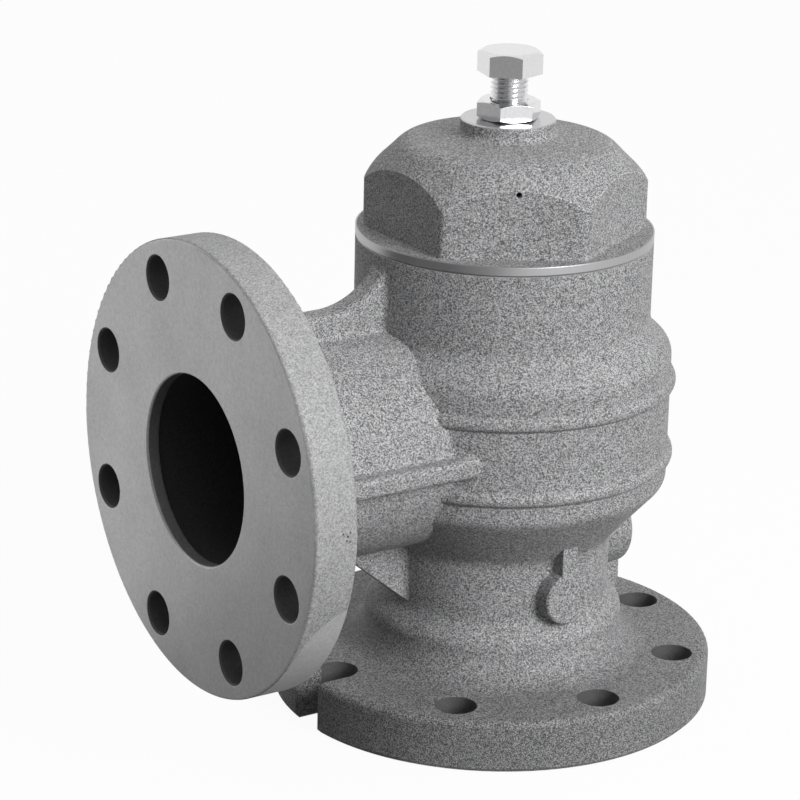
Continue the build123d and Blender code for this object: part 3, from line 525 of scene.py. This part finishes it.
finishes = {
    "cast_body": body_material,
    "cast_cap": cap_material,
    "bronze": turned_material("bronze", (0.62, 0.42, 0.18), 1.0, 0.3, 0.2, 0.25, 0.02),
    "turned_steel": turned_material("turned_steel", (0.52, 0.52, 0.53), 1.0, 0.28, 0.2, 0.3, 0.02),
    "turned_aluminium": turned_material("turned_aluminium", (0.72, 0.72, 0.73), 1.0, 0.32, 0.3, 0.2, 0.03),
    "rubber": mottled_material("rubber", (0.02, 0.02, 0.02), (0.035, 0.035, 0.035), 0.0, 0.6, 900.0, 0.03),
    "zinc_plated_steel": mottled_material(
        "zinc_plated_steel", (0.62, 0.62, 0.63), (0.84, 0.84, 0.85), 1.0, 0.16, 900.0, 0.02
    ),
    "white_plastic": mottled_material("white_plastic", (0.82, 0.81, 0.78), (0.88, 0.87, 0.85), 0.0, 0.4, 500.0, 0.01),
    "spring_steel": mottled_material("spring_steel", (0.10, 0.10, 0.11), (0.18, 0.18, 0.19), 0.9, 0.38, 400.0, 0.02),
}
for part in frame["record"]["subparts"]:
    mesh = nodes[part["node"]].data
    mesh.materials.clear()
    mesh.materials.append(finishes[part["material_slot"]])
print("finishes:", sorted(finishes))

# %% [markdown]
# ## The threaded screw
#
# The adjusting screw is an M16 set screw, threaded to its head. In the CAD model its shank is plain, so
# here it gets a real thread. A thread is one zigzag line turned round the axis while it climbs by one
# pitch: the spin operator does both, because it takes a shift for each step along with the turn. Its two
# ragged ends are cut flat with bisect_plane and closed, and the head is joined to it.

# %% Screw sizes
thread_radius = 7.9 * mm
thread_pitch = 2.0 * mm
thread_depth = 1.15 * mm
shank_bottom = 237.0 * mm
head_bottom = 276.0 * mm
head_top = 286.0 * mm
head_flats = 24.0 * mm
head_turn = radians(47.6)
axis_up = Vector((0, 0, 1))
origin = Vector((0, 0, 0))


def cut_flat(shape, height, keep_above):
    """Cuts a shape along a level plane, drops one side and closes the cut."""
    normal = -axis_up if keep_above else axis_up
    geometry = shape.verts[:] + shape.edges[:] + shape.faces[:]
    cut = bmesh.ops.bisect_plane(
        shape, geom=geometry, dist=1e-7, plane_co=axis_up * height, plane_no=normal, clear_outer=True
    )
    rim_edges = [item for item in cut["geom_cut"] if isinstance(item, bmesh.types.BMEdge)]
    bmesh.ops.holes_fill(shape, edges=rim_edges, sides=0)


# %% Thread
thread_shape = bmesh.new()
turns = int((head_bottom - shank_bottom) / thread_pitch) + 3
lowest = shank_bottom - 1.5 * thread_pitch
profile = []
for turn_index in range(turns):
    base_height = lowest + turn_index * thread_pitch
    for share, depth in ((0.0, thread_depth), (0.08, thread_depth), (0.47, 0.0), (0.61, 0.0)):
        profile.append(thread_shape.verts.new((thread_radius - depth, 0, base_height + share * thread_pitch)))
profile.append(thread_shape.verts.new((thread_radius - thread_depth, 0, lowest + turns * thread_pitch)))
profile_edges = [thread_shape.edges.new(pair) for pair in zip(profile, profile[1:])]
steps = 48
bmesh.ops.spin(
    thread_shape, geom=profile + profile_edges, cent=origin, axis=axis_up, dvec=axis_up * (thread_pitch / steps),
    angle=2 * pi, steps=steps, use_merge=False, use_duplicate=False,
)
bmesh.ops.remove_doubles(thread_shape, verts=thread_shape.verts, dist=1e-6)
cut_flat(thread_shape, shank_bottom, True)
cut_flat(thread_shape, head_bottom + 0.5 * mm, False)
bmesh.ops.recalc_face_normals(thread_shape, faces=thread_shape.faces)
print("thread faces:", len(thread_shape.faces))

# %% [markdown]
# The head is a hexagon whose corners are turned off at 30 degrees. Seen from the side, that cut leaves
# an arc on each flat. Cutting a hexagon with a cone gives the arcs too, but leaves long thin faces. Here
# the outline is divided finely, and each point of the top edge drops by how far it lies outside the
# round face, which gives the same arcs with even faces.

# %% Head
head_corner = head_flats / sqrt(3)
head_face_radius = 0.95 * head_flats / 2
washer_radius = 0.93 * head_flats / 2
chamfer_slope = tan(radians(30))


def raise_ring(shape, edges, place_of):
    """Extrudes a ring of edges and puts each new point where a function says."""
    made = bmesh.ops.extrude_edge_only(shape, edges=edges)["geom"]
    for vertex in (item for item in made if isinstance(item, bmesh.types.BMVert)):
        vertex.co = place_of(vertex.co)
    return [item for item in made if isinstance(item, bmesh.types.BMEdge)]


def at_radius(point, radius, height):
    """The point moved straight out or in to a radius, at a height."""
    flat = Vector((point.x, point.y, 0)).normalized() * radius
    return flat + axis_up * height


head_shape = bmesh.new()
bmesh.ops.create_circle(head_shape, cap_ends=False, segments=6, radius=head_corner)
bmesh.ops.rotate(head_shape, verts=head_shape.verts, cent=origin, matrix=Matrix.Rotation(head_turn, 3, "Z"))
bmesh.ops.subdivide_edges(head_shape, edges=head_shape.edges[:], cuts=11)
bmesh.ops.translate(head_shape, verts=head_shape.verts, vec=axis_up * (head_bottom + 0.3 * mm))
ring = head_shape.edges[:]
bottom_ring = ring[:]
top_ring = raise_ring(
    head_shape, ring,
    lambda point: Vector((point.x, point.y, head_top - max(0, point.xy.length - head_face_radius) * chamfer_slope)),
)
top_ring = raise_ring(head_shape, top_ring, lambda point: at_radius(point, head_face_radius, head_top))
top_ring = raise_ring(head_shape, top_ring, lambda point: at_radius(point, head_face_radius * 0.5, head_top))
bmesh.ops.holes_fill(head_shape, edges=top_ring, sides=0)
lower = raise_ring(head_shape, bottom_ring, lambda point: at_radius(point, washer_radius, head_bottom + 0.3 * mm))
lower = raise_ring(head_shape, lower, lambda point: at_radius(point, washer_radius, head_bottom))
lower = raise_ring(head_shape, lower, lambda point: at_radius(point, washer_radius * 0.5, head_bottom))
bmesh.ops.holes_fill(head_shape, edges=lower, sides=0)
bmesh.ops.recalc_face_normals(head_shape, faces=head_shape.faces)
print("head faces:", len(head_shape.faces))

# %% Screw object
thread_mesh = bpy.data.meshes.new("threaded_screw")
head_mesh = bpy.data.meshes.new("screw_head")
head_shape.to_mesh(head_mesh)
thread_shape.from_mesh(head_mesh)
thread_shape.to_mesh(thread_mesh)
head_shape.free()
thread_shape.free()
bpy.data.meshes.remove(head_mesh)
screw = bpy.data.objects.new("threaded_screw", thread_mesh)
bpy.context.scene.collection.objects.link(screw)
thread_mesh.materials.append(finishes["zinc_plated_steel"])
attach(screw, "screw")
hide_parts("adjusting_screw")

# %% [markdown]
# ## Floor, sky and lamps
#
# The photograph shows the valve on plain white. The floor and the sky look white to the camera and in
# reflections, which Light Path's rays tell apart, while the light that reaches the metal stays plain.
# The studio was darker on the outlet's side, which gives the castings their shaded side and the bright
# screw its dark flats, so the sky and the floor's reflection are dimmer there. One group says which
# directions that is, and both use it.

# %% Dark side of the studio
side_group, side_in, side_out = new_group(
    "dark_side", [("Direction", "NodeSocketVector")], [("Share", "NodeSocketFloat")]
)
flat_way = add_node(
    side_group, "ShaderNodeVectorMath", {"operation": "MULTIPLY"}, i0=side_in["Direction"], i1=(1.0, 1.0, 0.35)
).outputs[0]
way = add_node(side_group, "ShaderNodeVectorMath", {"operation": "NORMALIZE"}, i0=flat_way).outputs[0]
dark_angle = radians(-80)
dark_way = (sin(dark_angle), -cos(dark_angle), 0.0)
toward = add_node(side_group, "ShaderNodeVectorMath", {"operation": "DOT_PRODUCT"}, i0=way, i1=dark_way).outputs["Value"]
side_group.links.new(step_up(side_group, toward, 0.5, 0.75), side_out["Share"])


def sees_white(tree):
    """1 for rays from the camera and for mirrored and refracted ones."""
    rays = tree.nodes.new("ShaderNodeLightPath").outputs
    seen = math_node(tree, "MAXIMUM", rays["Is Camera Ray"], rays["Is Glossy Ray"])
    return math_node(tree, "MAXIMUM", seen, rays["Is Transmission Ray"])


def background_level(tree, direction):
    """How bright the background is: white for the camera, dimmer in reflections of the dark side."""
    share = use_group(tree, side_group, Direction=direction)["Share"]
    rays = tree.nodes.new("ShaderNodeLightPath").outputs
    dimming = mix_values(tree, rays["Is Diffuse Ray"], 0.66, 0.38)
    dimming = math_node(tree, "MULTIPLY", dimming, math_node(tree, "SUBTRACT", 1.0, rays["Is Camera Ray"]))
    return math_node(tree, "SUBTRACT", 1.0, math_node(tree, "MULTIPLY", share, dimming))


# %% Floor
floor_mesh = bpy.data.meshes.new("floor")
floor = bpy.data.objects.new("floor", floor_mesh)
bpy.context.scene.collection.objects.link(floor)
floor_shape = bmesh.new()
bmesh.ops.create_grid(floor_shape, x_segments=1, y_segments=1, size=6.0)
bmesh.ops.translate(floor_shape, verts=floor_shape.verts, vec=(0, 0, cad_box[0][2] - 0.0002))
floor_shape.to_mesh(floor_mesh)
floor_shape.free()

floor_material = bpy.data.materials.new("white_floor")
floor_material.use_nodes = True
tree = floor_material.node_tree
tree.nodes.remove(tree.nodes["Principled BSDF"])
floor_place = tree.nodes.new("ShaderNodeTexCoord").outputs["Object"]
beside_flange = add_node(
    tree, "ShaderNodeVectorMath", {"operation": "SUBTRACT"}, i0=floor_place, i1=(-0.05, 0.0, 0.0)
).outputs[0]
seen = sees_white(tree)
matt_colour = mix_colours(tree, seen, grey(0.06), grey(0.9))
matt = add_node(tree, "ShaderNodeBsdfDiffuse", None, Color=matt_colour).outputs[0]
glow = add_node(
    tree, "ShaderNodeEmission", None, Color=(1, 1, 1, 1), Strength=background_level(tree, beside_flange)
).outputs[0]
mixed = tree.nodes.new("ShaderNodeMixShader")
tree.links.new(math_node(tree, "MULTIPLY", seen, 0.95), mixed.inputs[0])
tree.links.new(matt, mixed.inputs[1])
tree.links.new(glow, mixed.inputs[2])
tree.links.new(mixed.outputs[0], tree.nodes["Material Output"].inputs["Surface"])
floor_mesh.materials.append(floor_material)

# %% Sky
world = bpy.data.worlds.new("studio")
bpy.context.scene.world = world
world.use_nodes = True
tree = world.node_tree
sky_way = tree.nodes.new("ShaderNodeTexCoord").outputs["Generated"]
sky_height = add_node(tree, "ShaderNodeSeparateXYZ", None, i0=sky_way).outputs[2]
dim_level = mix_values(tree, step_up(tree, sky_height, -0.1, 0.9), 0.16, 0.62)
level = mix_values(tree, sees_white(tree), dim_level, 1.0)
sky = tree.nodes["Background"]
sky.inputs["Color"].default_value = (1, 1, 1, 1)
tree.links.new(math_node(tree, "MULTIPLY", level, background_level(tree, sky_way)), sky.inputs["Strength"])


# %% Lamps
def area_lamp(name, place, aim, size, power):
    """A square soft lamp at a place, turned to face a point."""
    data = bpy.data.lights.new(name, "AREA")
    data.size = size
    data.energy = power
    lamp = bpy.data.objects.new(name, data)
    bpy.context.scene.collection.objects.link(lamp)
    direction = Vector(aim) - Vector(place)
    lamp.matrix_world = Matrix.Translation(place) @ direction.to_track_quat("-Z", "Y").to_matrix().to_4x4()


area_lamp("key_front", (0.27, -1.75, 0.92), (0, 0, 0.14), 0.8, 30)

# %% Finish
bpy.context.scene.view_settings.view_transform = "Standard"
